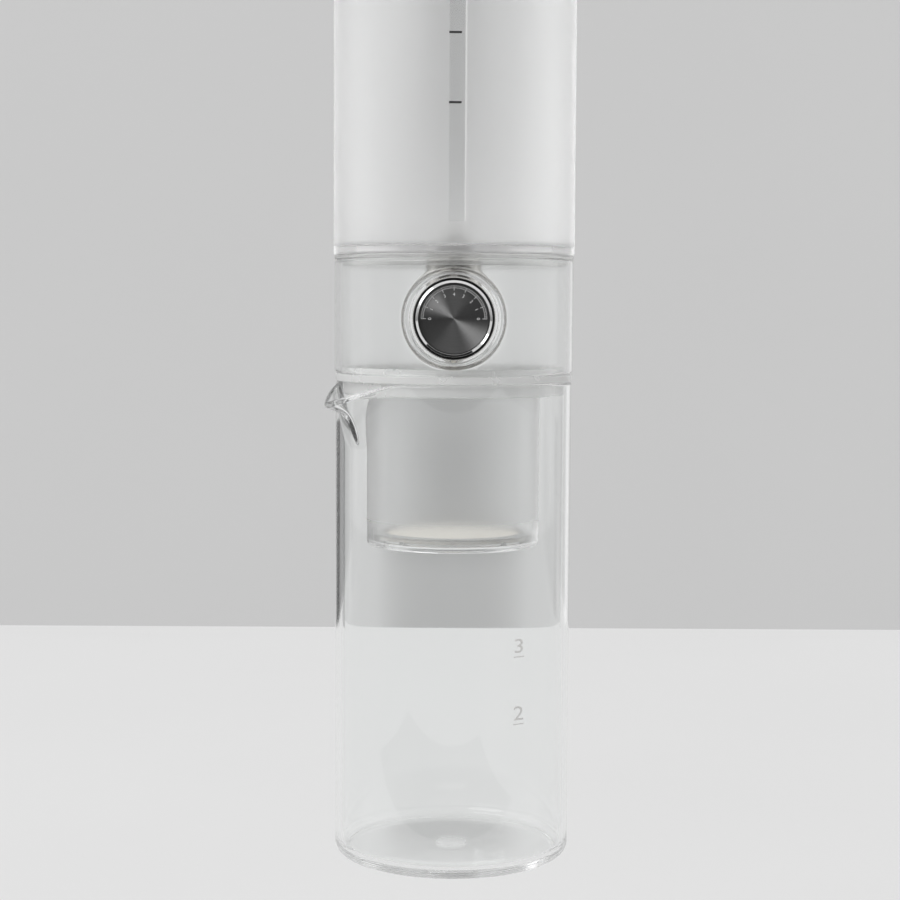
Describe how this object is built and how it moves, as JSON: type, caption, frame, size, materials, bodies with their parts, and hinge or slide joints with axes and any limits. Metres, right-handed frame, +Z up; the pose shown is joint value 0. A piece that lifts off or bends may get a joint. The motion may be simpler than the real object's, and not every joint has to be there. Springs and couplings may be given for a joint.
{
  "type": "cold brew coffee maker",
  "caption": "Slow-drip cold brew tower: frosted water tank with a dial drip valve on a clear collar, over a frosted coffee chamber hung in a glass carafe with a spout.",
  "frame": {"origin": "centre of the flat base of the carafe, on the surface it stands on", "axes": "+Z up along the tower's axis, the valve's knob faces -Y, and the spout points to -X and -Y"},
  "size_m": [0.0868, 0.0937, 0.363],
  "materials": {
    "clear_glass": "clear polished borosilicate glass",
    "frosted_glass": "fine frosted glass, matt outside",
    "clear_silicone": "translucent soft silicone",
    "filter_ceramic": "cream porous filter disc",
    "steel": "turned and polished stainless steel",
    "chrome": "bright polished bezel",
    "dial_metal": "dark anodised disc with a circular spun grain",
    "dark_rubber": "black sealing rubber",
    "white_plastic": "white low-friction plastic"
  },
  "bodies": {
    "carafe": {"carafe": "clear_glass"},
    "brew_chamber": {"coffee_chamber": "frosted_glass", "chamber_seal": "clear_silicone"},
    "filter": {"filter_ring": "clear_silicone", "filter_disc": "filter_ceramic"},
    "tank_unit": {"water_tank": "frosted_glass", "collar": "clear_glass", "collar_gasket": "clear_silicone", "valve_body": "steel", "lower_washer": "clear_silicone", "upper_washer": "clear_silicone", "inlet_nut": "steel", "inlet_strainer": "steel", "thrust_washer": "white_plastic", "bonnet_nut": "steel", "drip_nozzle": "steel", "nozzle_o_ring": "dark_rubber"},
    "lid": {"lid": "clear_glass", "lid_seal": "clear_silicone"},
    "knob": {"valve_plug": "steel", "plug_o_rings": "dark_rubber", "knob_body": "steel", "knob_bezel": "chrome", "dial_plate": "dial_metal", "knob_screw": "steel"}
  },
  "joints": [
    {"name": "chamber_lift", "type": "slide", "parent": "carafe", "child": "brew_chamber", "axis": [0, 0, 1], "range_m": [0, 0.075]},
    {"name": "filter_lift", "type": "slide", "parent": "brew_chamber", "child": "filter", "axis": [0, 0, 1], "range_m": [0, 0.055]},
    {"name": "tank_lift", "type": "slide", "parent": "brew_chamber", "child": "tank_unit", "axis": [0, 0, 1], "range_m": [0, 0.05]},
    {"name": "lid_lift", "type": "slide", "parent": "tank_unit", "child": "lid", "axis": [0, 0, 1], "range_m": [0, 0.04]},
    {"name": "knob_turn", "type": "hinge", "parent": "tank_unit", "child": "knob", "pos_m": [0, -0.045, 0.1934], "axis": [0, -1, 0], "range_deg": [-90, 90]}
  ]
}
